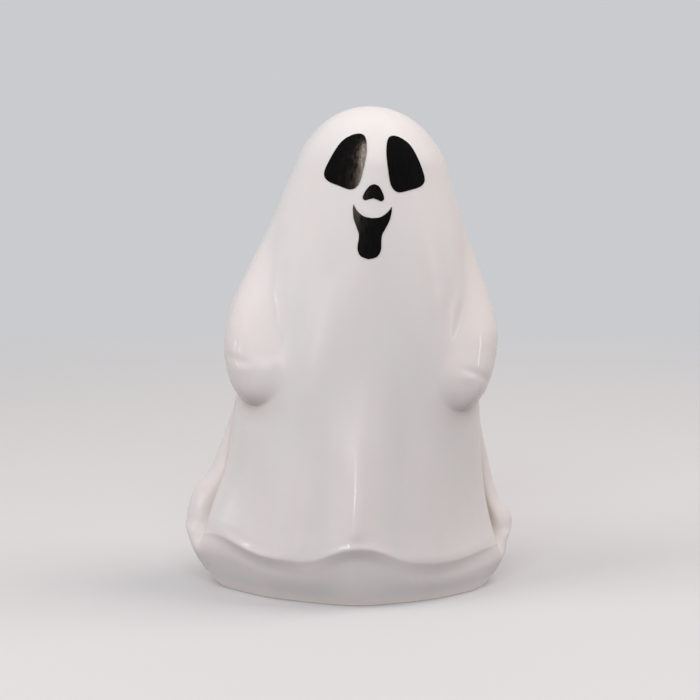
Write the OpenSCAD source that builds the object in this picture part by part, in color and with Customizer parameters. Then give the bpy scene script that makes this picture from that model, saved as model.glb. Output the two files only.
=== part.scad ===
// Light-up ghost: a hollow blow-moulded sheet ghost on a battery and light unit.
// Millimetres, +Z up, the face looks along -Y. The origin is on the floor, under the middle of the base.
// Angles round the body run from the front, 0, over the ghost's left side at +X, 90, to the back, 180.

/* [Ghost shell] */
// Height from the floor to the top of the head
body_h = 216; // [180:1:260]
// Radius of the dome of the head
head_r = 34.5; // [29:0.5:42]
// From the middle of the head forward to the face
head_front = 33; // [27:0.5:40]
// From the middle of the head to its back
head_back = 33; // [27:0.5:40]
// From the top of the head down to the shoulder line
shoulder_drop = 56; // [46:1:67]
// Half width at the shoulder line
shoulder_w = 43.8; // [36:0.1:53]
// Depth forward at the shoulder line
shoulder_front = 37.5; // [31:0.5:45]
// Depth back at the shoulder line
shoulder_back = 37; // [31:0.5:45]
// Half width of the chest between the arms
chest_w = 50; // [42:0.5:60]
// Depth forward at the chest
chest_front = 41; // [34:0.5:50]
// Depth back at the chest
chest_back = 40; // [33:0.5:48]
// Height of the narrow place below the hands
waist_z = 82; // [68:1:98]
// Half width below the hands
waist_w = 54.5; // [45:0.5:65]
// Depth forward below the hands
waist_front = 42.5; // [35:0.5:51]
// Depth back below the hands
waist_back = 42; // [35:0.5:51]
// Height of the hip, where the sheet starts to spread
hip_z = 52; // [43:1:63]
// Half width at the hip
hip_w = 59.5; // [50:0.5:71]
// Depth forward at the hip
hip_front = 44; // [36:0.5:53]
// Depth back at the hip
hip_back = 45; // [37:0.5:54]
// Mean height of the lower edge of the sheet
hem_z = 22.5; // [18:0.5:27]
// Half width of the front sheet at its lower edge
hem_w = 67.5; // [65:0.5:81]
// Shape of the front sheet's plan at the floor: 2 is an ellipse and less is a prow
prow = 1.6; // [1.6:0.1:2.2]
// Depth forward at the lower edge
hem_front = 47; // [44:0.5:57]
// Depth back at the lower edge
hem_back = 48; // [44:0.5:58]
// Wall of the blow moulding
shell_wall = 1.8; // [1.2:0.1:2.2]
// Thicker floor of the shell, round its opening
floor_t = 3; // [2:0.1:3.6]
// Sideways lean of the head over the base
lean = 9.5; // [0:0.5:12]
// Sideways shift of the foot under the sheet
foot_shift = 1.5; // [0:0.1:2.5]
// Drop of the ghost's left hand and eye, as a slope
tilt = 0.03; // [0:0.005:0.06]

/* [Folds and arms] */
// Rise and fall of the lower edge round the sheet
hem_wave = 4.1; // [2:0.1:5]
// Step in from the lower edge to the plinth under it
hem_step = 2.8; // [1.5:0.1:3.5]
// Half height of the rounded lip at the lower edge
lip_h = 2.4; // [1.8:0.1:3]
// How far the foot of the plinth rounds in at the front
foot_in = 6.5; // [5:0.5:8]
// How far it rounds in at the sides
foot_side_in = 8.5; // [7:0.5:10]
// How far the sheet kicks out just above its lower edge
hem_flare = 2; // [0.5:0.1:3]
// Height of the ridge down the middle of the front
ridge_out = 3.6; // [1:0.1:4.5]
// Height of the folds beside the ridge
lobe_out = 2.6; // [1:0.1:3.5]
// Depth of the creases at the sides
crease_in = 4.5; // [1:0.1:5.5]
// How far the corners of the sheet stand out behind the creases
flap_out = 7; // [2:0.1:8.5]
// Height of the folds down the back
back_fold_out = 3.5; // [1:0.1:4.5]
// How far the arms stand out from the chest
arm_out = 11; // [6:0.5:13]
// Height of the underside of the hands
hand_z = 85.5; // [71:0.5:102]
// From the underside of a hand up to the fullest part of the arm
hand_h = 27; // [22:1:32]

/* [Face] */
// From the top of the head down to the middle of the nose
face_drop = 36; // [30:0.5:43]
// Thickness of the printed ink
ink_t = 0.25; // [0.15:0.05:0.4]

/* [Cells] */
// Diameter of a cell
cell_d = 10.5; // [8.8:0.1:12.6]
// Length of a cell over its button
cell_l = 44.5; // [37:0.5:53.5]
// Gap between neighbouring cells
cell_gap = 0.8; // [0.5:0.1:1.5]
// Length of a contact spring when a cell is in
spring_l = 4.9; // [4:0.1:6]
// Diameter of the spring wire
spring_wire = 0.6; // [0.5:0.05:0.7]
// Turns of a contact spring
spring_turns = 3.5; // [2.5:0.5:4]
// Thickness of a contact plate
contact_t = 0.4; // [0.3:0.05:0.6]

/* [Base unit] */
// Thickness of the flange that the ghost stands on
flange_t = 3; // [2.6:0.1:3.6]
// How far the middle of the underside is sunk above the floor
under_sink = 0.8; // [0.6:0.1:1]
// Gap between the floor and the rim of the shell
rim_gap = 0.6; // [0.4:0.1:0.8]
// Wall of the battery bay
bay_wall = 1.6; // [1.2:0.1:2]
// Wall of the collar that enters the shell
collar_wall = 1.8; // [1.4:0.1:2.2]
// Height of the collar above the flange
collar_h = 6; // [4:0.5:8]
// Width of the flange outside the collar
flange_lip = 5; // [4.6:0.1:5.8]
// Thickness of the battery door
door_t = 2; // [1.7:0.1:2.4]
// Diameter of the pivot pins of the door
pivot_d = 1.6; // [1.3:0.1:1.8]
// Diameter of the shank of the door screw
door_screw_d = 2.5; // [2.1:0.1:3]
// Diameter of the shank of the flange screws
flange_screw_d = 2; // [1.7:0.1:2.4]
// Travel of the power switch
switch_travel = 4; // [3:0.5:4.8]

/* [Light board] */
// Length of the circuit board
board_l = 30; // [28:1:36]
// Width of the circuit board
board_w = 20; // [18:1:24]
// Thickness of the circuit board
board_t = 1.6; // [1:0.1:2]
// Height of the posts under the board
post_h = 3; // [2.5:0.1:4]
// Diameter of a light-emitting diode
led_d = 5; // [4.2:0.1:6]
// Diameter of an insulated wire
wire_d = 1.3; // [1.1:0.1:1.6]

/* [Hidden] */
$fn = 48;
fit = 0.3;            // clearance between pieces that are assembled by hand
opening_fit = 0.8;    // clearance of the collar in the opening of the shell
touch = 0.05;         // clearance between pieces that bear on each other
running = 0.05;       // radial clearance of a pin that turns
around = 72;          // points round the shell

// Heights and half widths of the sheet, from the hem up to where the dome of the head begins
dome_from = 19;       // angle on the head above which it is a true dome
head_z = body_h - head_r;
neck_z = head_z + head_r * sin(dome_from);
shoulder_z = body_h - shoulder_drop;
chest_z = (waist_z + shoulder_z) / 2;
stations = [
    [hem_z, hem_w, hem_front, hem_back],
    [hip_z, hip_w, hip_front, hip_back],
    [waist_z, waist_w, waist_front, waist_back],
    [chest_z, chest_w, chest_front, chest_back],
    [shoulder_z, shoulder_w, shoulder_front, shoulder_back],
    [neck_z, head_r * cos(dome_from), head_front * cos(dome_from), head_back * cos(dome_from)],
];

// Where the folds and arms stand round the body, as angles and half widths in degrees,
// and how high each of them reaches
ridge_half = 9;
ridge_top = 115;
lobe_at = 36;
lobe_half = 15;
lobe_top = 75;
crease_at = 79;
crease_half = 7;
crease_top = hand_z + 8;
flap_at = 99;
flap_half = 15;
flap_top = waist_z + 4;
back_fold_at = 142;
back_fold_half = 14;
back_fold_top = 110;
hem_waves = 4;        // waves of the lower edge round the body
hem_wave_skew = 9.5;  // degrees by which its dips lie nearer to the front and the back
flare_h = 14;
plinth_folds = 0.5;   // share of the folds that goes on below the hem
plinth_crease = 0.2;  // share of the creases that goes on below it
back_plan = 2.25;     // plan of the back at the floor, a little squarer than an ellipse
arm_round = 0.62;     // less is a squarer arm
arm_at = 72;
arm_half_in = 26;
arm_half_out = 34;
arm_z = hand_z + hand_h;
arm_top_z = shoulder_z + 10;
arm_narrowing = 0.25; // share by which an arm narrows up to the shoulder
arm_swing_up = 0.45;  // degrees an arm moves back for each millimetre up to the shoulder
arm_swing_down = 0.3; // degrees a hand moves forward for each millimetre down
arm_swing_most = 20;
lean_from = 28;       // height above which the body leans
shell_y = -4;         // the shell stands a little forward of the base unit
foot_h = hem_z - 4;   // height at which the foot begins to round in
flap_foot_h = 10;     // how much higher that is at the corners of the sheet
foot_power = 1.6;     // more is a tighter rounding at the foot

// Battery bay, with the cells along X
cells = 3;
cell_pitch = cell_d + cell_gap;
bay_gap = 0.4;
bay_x = -9;
bay_l = cell_l + spring_l + 2 * contact_t + 4 * touch;
bay_w = cells * cell_d + (cells - 1) * cell_gap + 2 * bay_gap;
bay_left = bay_x - bay_l / 2;
bay_right = bay_x + bay_l / 2;
left_plate_x = bay_left + touch;
right_plate_x = bay_right - contact_t - touch;
door_top = under_sink + door_t;
bay_floor = door_top + fit;
cell_z = bay_floor + cell_d / 2;
bay_top = cell_z + cell_d / 2 + fit;
ceiling_z = bay_top + bay_wall;

// Battery door: a leaf with pivot pins at its left end and a screwed tab at its right end
door_edge = 0.65;     // how far the door laps the walls of the bay
door_half = bay_w / 2 + door_edge;
pivot_x = bay_left - bay_wall - 0.8;
pivot_z = under_sink + door_t / 2;
pivot_l = 1.8;
ear_w = 2.5;
ear_half = 2;
ear_low = 0.2;
ear_top = flange_t + 1;
tab_half = 6;
door_right = bay_right + bay_wall + 0.7;
tab_right = door_right + 8;
screw_x = door_right + 3.8;
door_boss_r = 3.8;
door_boss_h = 1.2;
screw_head_r = 2.3;
screw_head_h = 1.5;
screw_r = door_screw_d / 2;
head_seat_z = under_sink + screw_head_h + 0.1;
door_boss_top = door_top + door_boss_h;
clip_t = 0.6;
clip_r = screw_r + 1.15;
clip_slit = 1;
clip_z = door_boss_top + touch;
nut_boss_z = door_boss_top + fit;
nut_mouth_h = clip_t + 0.3;
nut_play = 0.35;      // room for the screw to swing out with the door
screw_tip_z = nut_boss_z + nut_mouth_h + 3.1;
nut_boss_top = screw_tip_z + 2.5;
nut_boss_half = 4.6;

// Flange, collar and the opening of the shell that they fit
collar_x = bay_l / 2 - bay_x + bay_wall + 3.8;
collar_y = bay_w / 2 + bay_wall + 3.9;
collar_round = 4.5;
flange_round = 20;
sink_in = 0.6;        // the sunk middle of the underside ends this far inside the collar
flange_x = collar_x + flange_lip;
flange_y = collar_y + flange_lip;
recess_z = flange_t + 0.2;
floor_top = recess_z + floor_t;
collar_top = flange_t + collar_h;
flange_screw_r = flange_screw_d / 2;
flange_head_r = 1.9;
flange_head_h = 1.3;
flange_head_z = 0.2;
flange_screw_l = recess_z + floor_t + 1.5 - flange_head_z - flange_head_h;
flange_screw_x = flange_x - flange_round - 2;
pilot_room = 0.15;    // radial room of a screw in its pilot hole
head_room = 0.3;      // room round and over a sunk screw head
flange_screw_y = (collar_y + flange_y) / 2;

// Power switch, to the right of the door tab
switch_x = tab_right + 6;
switch_case = [6, 12, 4.5];
switch_wall = 0.5;
switch_case_z = flange_t + 0.2;
switch_case_top = switch_case_z + switch_case[2];
knob = [2.6, 4.2];
groove = 0.5;
groove_h = 0.4;
groove_pitch = 1.1;
stem = 1.6;
knob_low = 0.2;
knob_top = flange_t + 0.1;
slider = [4.4, 5];
slider_low = flange_t + 0.3;
slider_top = slider_low + 1.7;
thumb_sink = 0.8;
thumb_half = [4.2, 7];
ear_plate_t = 0.6;
ear_screw_y = switch_case[1] / 2 + 2.6;
ear_plate_half = ear_screw_y + 2.2;
switch_post_r = 2.2;
switch_post_top = flange_t + 2.2;
ear_plate_z = switch_post_top + touch;
ear_screw_r = 0.9;
ear_screw_l = 3.6;
ear_head_r = 1.8;
ear_head_h = 1.1;
switch_screw_end = ear_plate_z + ear_plate_t - ear_screw_l - fit;
terminal_pitch = 3.5;
terminal = [0.8, 0.4, 3.5];

// Light board on two posts over the bay
board_x = -4;
board_z = ceiling_z + post_h + touch;
board_top = board_z + board_t;
board_screw_x = 12;
board_screw_r = 1;
board_screw_l = 5;
board_head_r = 1.9;
board_head_h = 1.2;
board_screw_end = board_top - board_screw_l - fit;
post_r = 2.3;
led_ring_r = 5.5;
led_stand = 0.3;
led_flange_r = led_d / 2 + 0.4;
led_flange_h = 1;
led_body_h = 5.2;
lead_r = 0.25;
lead_pitch = 1.27;
lead_below = 1.4;
chip = [5, 4, 1.5];
chip_stand = 0.1;
chip_leg = [0.4, 0.9, 0.6];
chip_at = [10, 5.2];
resistor = [2, 1.25, 0.5];
resistor_at = [-10.5, 7.6];
resistor_pitch = 2.2;
tab_w = 3;
tab_h = 3.2;
contact_inset = 0.9;  // from the edge of a lane to the plate in it

// Routes of the three wires, from their solder tab to their end
wire_tab_z = ceiling_z + 1.6;
negative_pad = [board_x - 13, -7.5];
switched_pad = [board_x + 12.6, -6];
wire_end_z = board_top + touch;
terminal_top = switch_case_top + terminal[2] + touch;
wire_negative_route = [
    [bay_left + contact_t + 4 * touch, -cell_pitch, wire_tab_z],
    [bay_left + 3, -cell_pitch, wire_tab_z],
    [bay_left + 8, -12.5, board_top],
    [bay_left + 13, -10.5, board_top + 4],
    [negative_pad[0] - 1, -8, board_top + 4.5],
    [negative_pad[0], negative_pad[1], board_top + 2.5],
    [negative_pad[0], negative_pad[1], wire_end_z],
];
wire_positive_route = [
    [bay_right + 2 * touch, cell_pitch, wire_tab_z],
    [bay_right + 3, cell_pitch, wire_tab_z],
    [bay_right + 8, 11.5, wire_tab_z + 2],
    [switch_x - 5, 9, wire_tab_z + 2.5],
    [switch_x - 1, 5, wire_tab_z + 0.5],
    [switch_x, terminal_pitch, terminal_top + 4],
    [switch_x, terminal_pitch, terminal_top],
];
wire_switched_route = [
    [switch_x, 0, terminal_top],
    [switch_x, 0, terminal_top + 4],
    [switch_x - 2, -2, terminal_top + 8],
    [switch_x - 9, -5, board_top + 3],
    [switched_pad[0] + 5, -6.5, board_top + 5.5],
    [switched_pad[0] + 0.5, -6.2, board_top + 4],
    [switched_pad[0], switched_pad[1], board_top + 2],
    [switched_pad[0], switched_pad[1], wire_end_z],
];

// Outlines of the face, in millimetres from the middle of the nose: one eye, half a nose, half a mouth
eye_points = [
    [7.8, 24.1], [5.2, 22.5], [4.6, 17], [5.8, 9.4], [7.4, 3.2], [10.5, 0.6],
    [15.8, 1.7], [21, 3.6], [22.4, 6.8], [19.8, 13.4], [16, 19.7], [12, 22.9],
];
nose_half = [[0, 3.3], [2, 2.5], [3.8, 0.4], [4.7, -2.3], [3.6, -3.5], [1.7, -3], [0, -2.6]];
mouth_top_half = [[0, -11], [3.6, -10.4], [6.6, -8.3], [8.5, -5.7]];
mouth_side_half = [
    [8.6, -7.5], [8, -11.3], [6.4, -15.1], [5.1, -18], [4.9, -21.7], [4.7, -24.6], [3, -27.2], [0, -28],
];
outline_steps = 4;
face_turn = 1.8;      // how far the face leans beyond the tilt of the eyes
ink_gap = 0.06;

// Small functions

function clamp01(t) = min(1, max(0, t));
function smooth(a, b, x) = let (t = clamp01((x - a) / (b - a))) t * t * (3 - 2 * t);
function bell(x) = exp(-x * x);
function signed_pow(x, p) = sign(x) * pow(abs(x), p);
function unit(v) = v / norm(v);

// A smooth curve through stations [z, value, value, ...], read in column c
function slope(s, i, c) =
    let (a = max(0, i - 1), b = min(len(s) - 1, i + 1))
    (s[b][c] - s[a][c]) / (s[b][0] - s[a][0]);
function through(s, z, c) =
    z <= s[0][0] ? s[0][c] :
    let (
        i = max([for (k = [0:len(s) - 2]) if (z >= s[k][0]) k]),
        h = s[i + 1][0] - s[i][0],
        t = clamp01((z - s[i][0]) / h),
        m0 = slope(s, i, c) * h,
        m1 = slope(s, i + 1, c) * h,
        a = s[i][c],
        b = s[i + 1][c]
    )
    a + t * m0 + t * t * (3 * (b - a) - 2 * m0 - m1) + t * t * t * (2 * (a - b) + m0 + m1);

// A curve through points, closed or open, with a few steps to each stretch
function curve_at(p0, p1, p2, p3, t) =
    0.5 * (2 * p1 + (p2 - p0) * t + (2 * p0 - 5 * p1 + 4 * p2 - p3) * t * t
    + (3 * p1 - p0 - 3 * p2 + p3) * t * t * t);
function open_curve(p, steps) =
    let (n = len(p) - 1)
    concat(
        [for (i = [0:n - 1], k = [0:steps - 1])
            curve_at(p[max(0, i - 1)], p[i], p[i + 1], p[min(n, i + 2)], k / steps)],
        [p[n]]
    );
function closed_curve(p, steps) =
    let (n = len(p))
    [for (i = [0:n - 1], k = [0:steps - 1])
        curve_at(p[(i + n - 1) % n], p[i], p[(i + 1) % n], p[(i + 2) % n], k / steps)];
function mirrored(p) = [for (i = [len(p) - 1:-1:0]) [-p[i][0], p[i][1]]];

// Shape of the ghost

// [z, half width, depth forward, depth back] of the plain sheet at one height
function plain_row(z) =
    z < neck_z
        ? [z, through(stations, z, 1), through(stations, z, 2), through(stations, z, 3)]
        : let (c = sqrt(max(0, 1 - pow((z - head_z) / head_r, 2))))
            [z, head_r * c, head_front * c, head_back * c];

// The lower edge rises at the front, the sides and the back, and dips between them
function hem_rise(phi) = hem_wave * cos(hem_waves * (phi + hem_wave_skew * sin(2 * phi)));
function hem_share(z) = smooth(2, hem_z - 6, z) * (1 - smooth(hem_z + 6, hip_z + 12, z));

// An arm swings back to the shoulder and forward to the hand, and ends below in a rounded hand
function arm(a, z) =
    let (
        up = z > arm_z,
        v = up ? (z - arm_z) / (arm_top_z - arm_z) : (arm_z - z) / hand_h,
        at = arm_at + min(arm_swing_most, (z - arm_z) * (up ? arm_swing_up : arm_swing_down)),
        half = (a < at ? arm_half_in : arm_half_out) * (up ? 1 - arm_narrowing * clamp01(v) : 1),
        u = (a - at) / half,
        e = 1 - u * u - (up ? 0 : v * v)
    )
    e <= 0 || v >= 1 ? 0 : pow(e, arm_round) * (up ? 1 - smooth(0, 1, v) : 1);

function folds(a, z) =
    ridge_out * bell(a / ridge_half) * (1 - smooth(hem_z + 10, ridge_top, z))
    + lobe_out * bell((a - lobe_at) / lobe_half) * (1 - smooth(hem_z + 4, lobe_top, z))
    + back_fold_out * bell((a - back_fold_at) / back_fold_half) * (1 - smooth(hem_z + 6, back_fold_top, z));

// How far the skin stands out from the plain sheet at angle phi and height z
function relief(phi, z) =
    let (
        a = abs(phi),
        below = 1 - smooth(hem_z - lip_h, hem_z + 0.6 * lip_h, z),
        crease = bell((a - crease_at) / crease_half) * (1 - smooth(hip_z, crease_top, z)),
        flap = bell((a - flap_at) / (flap_half * (1 + below))),
        foot_from = foot_h + flap_foot_h * flap,
        foot = clamp01((foot_from - z) / (foot_from - rim_gap)),
        foot_to = foot_in + (foot_side_in - foot_in) * pow(sin(a), 2)
    )
    folds(a, z) * (1 - (1 - plinth_folds) * below)
    - crease_in * crease * (1 - (1 - plinth_crease) * below)
    + arm_out * arm(a, z)
    + flap_out * flap * (1 - smooth(hem_z + 10, flap_top, z))
    + hem_flare * (1 - smooth(hem_z, hem_z + flare_h, z)) * (1 - below) * (1 - flap)
    - hem_step * below * (1 - flap)
    - foot_to * pow(foot, foot_power);

function lean_at(z) =
    lean * clamp01((z - lean_from) / (neck_z - lean_from)) + foot_shift * (1 - smooth(2, hem_z, z));

// A point of the skin: a row of the plain sheet, moved out by d, with the hem's wave and the lean
function skin(phi, row, d) =
    let (
        front = cos(phi) > 0,
        low = front ? prow : back_plan,
        p = 2 / (low + (2 - low) * smooth(hem_z - 10, front ? arm_z : shoulder_z, row[0])),
        depth = front ? row[2] : row[3],
        n = unit([sin(phi) / row[1], -cos(phi) / depth]),
        x = row[1] * signed_pow(sin(phi), p) + d * n[0],
        y = -depth * signed_pow(cos(phi), p) + d * n[1],
        drop = tilt * x * smooth(hem_z - 12, hem_z + 18, row[0]),
        rise = hem_rise(phi) * hem_share(row[0])
    )
    [x + lean_at(row[0]), y + shell_y, row[0] + rise - drop];

angles = [for (j = [0:around - 1]) (j - around / 2) * 360 / around];

// Heights of the rows of the outer skin, from the top down
dome_rows = [for (t = [9:9:63]) plain_row(head_z + head_r * cos(t))];
neck_step = (neck_z - arm_z) / 13;
side_heights = concat(
    [for (k = [0:12]) neck_z - k * neck_step],
    [for (d = [1, 0.75, 0.5, 0.3, 0.16, 0.07, 0, -0.06, -0.15]) hand_z + d * hand_h],
    [for (k = [0:6]) hand_z - 8 - k * (hand_z - 8 - hem_z - 10) / 6],
    [for (d = [7, 4.6, 2.8, 1.4, 0, -1.2, -2.6]) hem_z + d],
    [for (t = [0, 0.2, 0.4, 0.6, 0.8, 1]) foot_h + (rim_gap - foot_h) * t]
);
outer_rows = concat(dome_rows, [for (z = side_heights) plain_row(z)]);

// The inner skin follows the outer one a wall further in, without its sharpest corners
inner_neck = head_z + (head_r - shell_wall) * sin(dome_from);
inner_dome = [for (t = [15:15:60])
    let (s = (head_r - shell_wall) / head_r, r = plain_row(head_z + head_r * cos(t)))
    [head_z + (head_r - shell_wall) * cos(t), r[1] * s, r[2] * s, r[3] * s]];
inner_heights = concat(
    [for (k = [0:8]) inner_neck - k * (inner_neck - arm_z) / 9],
    [for (d = [1, 0.6, 0.3, 0.1, -0.1]) hand_z + d * hand_h],
    [for (k = [0:5]) hand_z - 8 - k * (hand_z - 8 - hem_z - 3) / 5],
    [hem_z - 5, (hem_z - 5 + floor_top) / 2, floor_top]
);
function inner_relief(phi, z) =
    min([for (d = [-2, 0, 2], t = [-8, -4, 0, 4, 8]) relief(phi + t, max(z + d * shell_wall, floor_top))])
    - shell_wall;

// Distance from the middle to a rounded rectangle along a direction
function box_reach(dir, hx, hy, r) =
    let (
        d = [abs(dir[0]), abs(dir[1])],
        c = [hx - r, hy - r],
        side = d[0] > 1e-9 ? hx / d[0] : 1e9,
        end = d[1] > 1e-9 ? hy / d[1] : 1e9,
        along = d * c
    )
    side * d[1] <= c[1] ? side : end * d[0] <= c[0] ? end : along + sqrt(along * along - c * c + r * r);
function box_ring(ring, grow, hx, hy, r, z) = [for (p = ring)
    let (dir = unit([p[0], p[1]]), t = box_reach(dir, hx + grow, hy + grow, r + grow))
    [t * dir[0], t * dir[1], z]];

// Triangles between rings of equal length, each ring below the last
function ring_faces(rings, n) = [for (i = [0:rings - 2], j = [0:n - 1], half = [0, 1])
    let (a = i * n + j, b = i * n + (j + 1) % n)
    half == 0 ? [a, b, a + n] : [b, b + n, a + n]];
function cap_faces(tip, first, n, turned) = [for (j = [0:n - 1])
    let (a = first + j, b = first + (j + 1) % n)
    turned ? [tip, a, b] : [tip, b, a]];

module solid_of_rings(rings, top, bottom) {
    n = len(rings[0]);
    points = concat([for (r = rings) each r], [top, bottom]);
    last = len(rings) * n;
    polyhedron(points, concat(
        ring_faces(len(rings), n),
        cap_faces(last, 0, n, false),
        cap_faces(last + 1, last - n, n, true)
    ), convexity = 8);
}

// A round tube along points, with its ends square to its first and last stretch
function tube_ring(p, i, r, sides) =
    let (
        n = len(p) - 1,
        t = unit(p[min(n, i + 1)] - p[max(0, i - 1)]),
        side = unit(cross(t, abs(t[2]) < 0.9 ? [0, 0, 1] : [0, 1, 0])),
        up = cross(side, t)
    )
    [for (k = [0:sides - 1]) p[i] + r * (cos(k * 360 / sides) * side + sin(k * 360 / sides) * up)];
// Each ring is turned to the place where its corners lie nearest to those of the ring before it
function ring_offset(a, b) =
    let (n = len(a), gaps = [for (s = [0:n - 1]) norm(a[0] - b[s])], least = min(gaps))
    [for (s = [0:n - 1]) if (gaps[s] == least) s][0];
function turned(ring, s) = [for (k = [0:len(ring) - 1]) ring[(k + s) % len(ring)]];
function tube_rings(p, r, sides, i = 0, last = undef) =
    i >= len(p) ? [] :
    let (ring = tube_ring(p, i, r, sides), now = last == undef ? ring : turned(ring, ring_offset(last, ring)))
    concat([now], tube_rings(p, r, sides, i + 1, now));
module tube(p, r, sides) {
    rings = tube_rings(p, r, sides);
    solid_of_rings(rings, p[0], p[len(p) - 1]);
}

// Sub-parts

module ghost_shell() {
    outer = [for (r = outer_rows) [for (phi = angles) skin(phi, r, relief(phi, r[0]))]];
    edge = outer[len(outer) - 1];
    under = [
        box_ring(edge, fit, flange_x, flange_y, flange_round, rim_gap),
        box_ring(edge, fit, flange_x, flange_y, flange_round, recess_z),
        box_ring(edge, opening_fit, collar_x, collar_y, collar_round, recess_z),
        box_ring(edge, opening_fit, collar_x, collar_y, collar_round, floor_top),
    ];
    inner_up = concat(
        [for (k = [len(inner_heights) - 1:-1:0])
            let (r = plain_row(inner_heights[k]))
            [for (phi = angles) skin(phi, r, inner_relief(phi, r[0]))]],
        [for (k = [len(inner_dome) - 1:-1:0]) [for (phi = angles) skin(phi, inner_dome[k], 0)]]
    );
    top = [lean, shell_y, body_h];
    color("whitesmoke") difference() {
        solid_of_rings(concat(outer, under, inner_up), top, top - [0, 0, shell_wall]);
        at_flange_screws() translate([0, 0, recess_z - 1])
            cylinder(r = flange_screw_r + pilot_room, h = floor_t + 2, $fn = 12);
    }
}

module at_flange_screws() {
    for (x = [-1, 1], y = [-1, 1]) translate([x * flange_screw_x, y * flange_screw_y, 0]) children();
}

// The ink is a thin film over the front of the head, cut to the outlines of the eyes, nose and mouth
module face_print() {
    face_z = body_h - face_drop;
    rows = [for (r = outer_rows) if (r[0] > face_z - 45 && r[0] < face_z + 33) r];
    front = [for (phi = angles) if (abs(phi) <= 70) phi];
    color("black") intersection() {
        ink_film(rows, front);
        translate([lean_at(face_z), 0, face_z]) rotate([90, 0, 0]) rotate(-atan(tilt) - face_turn)
            linear_extrude(2 * head_front) face_outlines();
    }
}

module ink_film(rows, front) {
    n = len(front);
    m = len(rows);
    sheets = [for (d = [ink_gap + ink_t, ink_gap])
        [for (r = rows) [for (phi = front) skin(phi, r, relief(phi, r[0]) + d)]]];
    points = [for (s = sheets) each [for (r = s) each r]];
    function at(s, i, j) = s * m * n + i * n + j;
    skin_faces = [for (s = [0, 1], i = [0:m - 2], j = [0:n - 2], half = [0, 1])
        let (a = at(s, i, j), b = at(s, i, j + 1), c = at(s, i + 1, j), d = at(s, i + 1, j + 1))
        half == 0 ? (s == 0 ? [a, b, c] : [a, c, b]) : (s == 0 ? [b, d, c] : [b, c, d])];
    side_faces = [for (i = [0:m - 2], e = [0, n - 1], half = [0, 1])
        let (a = at(0, i, e), b = at(0, i + 1, e), c = at(1, i, e), d = at(1, i + 1, e), left = e == 0)
        half == 0 ? (left ? [a, b, c] : [a, c, b]) : (left ? [b, d, c] : [b, c, d])];
    end_faces = [for (j = [0:n - 2], e = [0, m - 1], half = [0, 1])
        let (a = at(0, e, j), b = at(0, e, j + 1), c = at(1, e, j), d = at(1, e, j + 1), up = e == 0)
        half == 0 ? (up ? [a, c, b] : [a, b, c]) : (up ? [b, c, d] : [b, d, c])];
    polyhedron(points, concat(skin_faces, side_faces, end_faces), convexity = 4);
}

module face_outlines() {
    eye = closed_curve(eye_points, outline_steps);
    polygon(eye);
    polygon(mirrored(eye));
    nose = open_curve(nose_half, outline_steps);
    polygon(concat(nose, mirrored(nose)));
    mouth = concat(open_curve(mouth_top_half, outline_steps), open_curve(mouth_side_half, outline_steps));
    polygon(concat(mouth, mirrored(mouth)));
}

module rounded_box(hx, hy, r) {
    square([2 * (hx - r), 2 * hy], center = true);
    square([2 * hx, 2 * (hy - r)], center = true);
    for (x = [-1, 1], y = [-1, 1]) translate([x * (hx - r), y * (hy - r)]) circle(r);
}

module slab(from, to) {
    translate(from) cube(to - from);
}

// One moulding: flange, collar, battery bay, hinge ears, screw boss, switch posts and board posts
module base_plate() {
    color("white") difference() {
        union() {
            linear_extrude(flange_t) rounded_box(flange_x, flange_y, flange_round);
            linear_extrude(collar_top) difference() {
                rounded_box(collar_x, collar_y, collar_round);
                rounded_box(collar_x - collar_wall, collar_y - collar_wall, collar_round - collar_wall);
            }
            slab([bay_left - bay_wall, -bay_w / 2 - bay_wall, flange_t - 1],
                [bay_right + bay_wall, bay_w / 2 + bay_wall, ceiling_z]);
            slab([bay_right, -nut_boss_half, flange_t - 1],
                [screw_x + nut_boss_half, nut_boss_half, nut_boss_top]);
            at_switch_screws() cylinder(r = switch_post_r, h = switch_post_top);
            at_board_screws() translate([0, 0, ceiling_z - 1]) cylinder(r = post_r, h = post_h + 1);
            for (y = [-1, 1]) hinge_ear(y, under_sink, ear_top);
        }
        underside_cuts();
        bay_cuts();
        door_cuts();
        switch_cuts();
        at_flange_screws() {
            translate([0, 0, -1]) cylinder(r = flange_screw_r + pilot_room, h = flange_t + 2);
            translate([0, 0, -1])
                cylinder(r = flange_head_r + head_room, h = 1 + flange_head_z + flange_head_h + touch);
        }
        at_board_screws() translate([0, 0, board_screw_end])
            cylinder(r = board_screw_r + pilot_room, h = board_screw_l + fit);
    }
    // The foot of each hinge ear hangs into the sunk underside, so that the ear surrounds its pin
    color("white") for (y = [-1, 1]) difference() {
        hinge_ear(y, ear_low, under_sink);
        pivot_bores();
    }
}

module at_switch_screws() {
    for (y = [-1, 1]) translate([switch_x, y * ear_screw_y, 0]) children();
}

module at_board_screws() {
    for (x = [-1, 1]) translate([board_x + x * board_screw_x, 0, 0]) children();
}

module underside_cuts() {
    translate([0, 0, -1]) linear_extrude(1 + under_sink)
        rounded_box(collar_x - sink_in, collar_y - sink_in, collar_round - sink_in);
}

module hinge_ear(y, low, top) {
    translate([pivot_x - ear_half, y * (door_half + fit + ear_w / 2) - ear_w / 2, low])
        cube([2 * ear_half, ear_w, top - low]);
}

module pivot_bores() {
    translate([pivot_x, -door_half - fit - ear_w - 1, pivot_z]) rotate([-90, 0, 0])
        cylinder(r = pivot_d / 2 + running, h = 2 * (door_half + fit + ear_w + 1));
}

module bay_cuts() {
    slab([bay_left, -bay_w / 2, under_sink - 1], [bay_right, bay_w / 2, bay_top]);
    tab_slot(bay_left, -cell_pitch);
    tab_slot(bay_right - contact_t - 2 * touch, cell_pitch);
}

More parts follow.
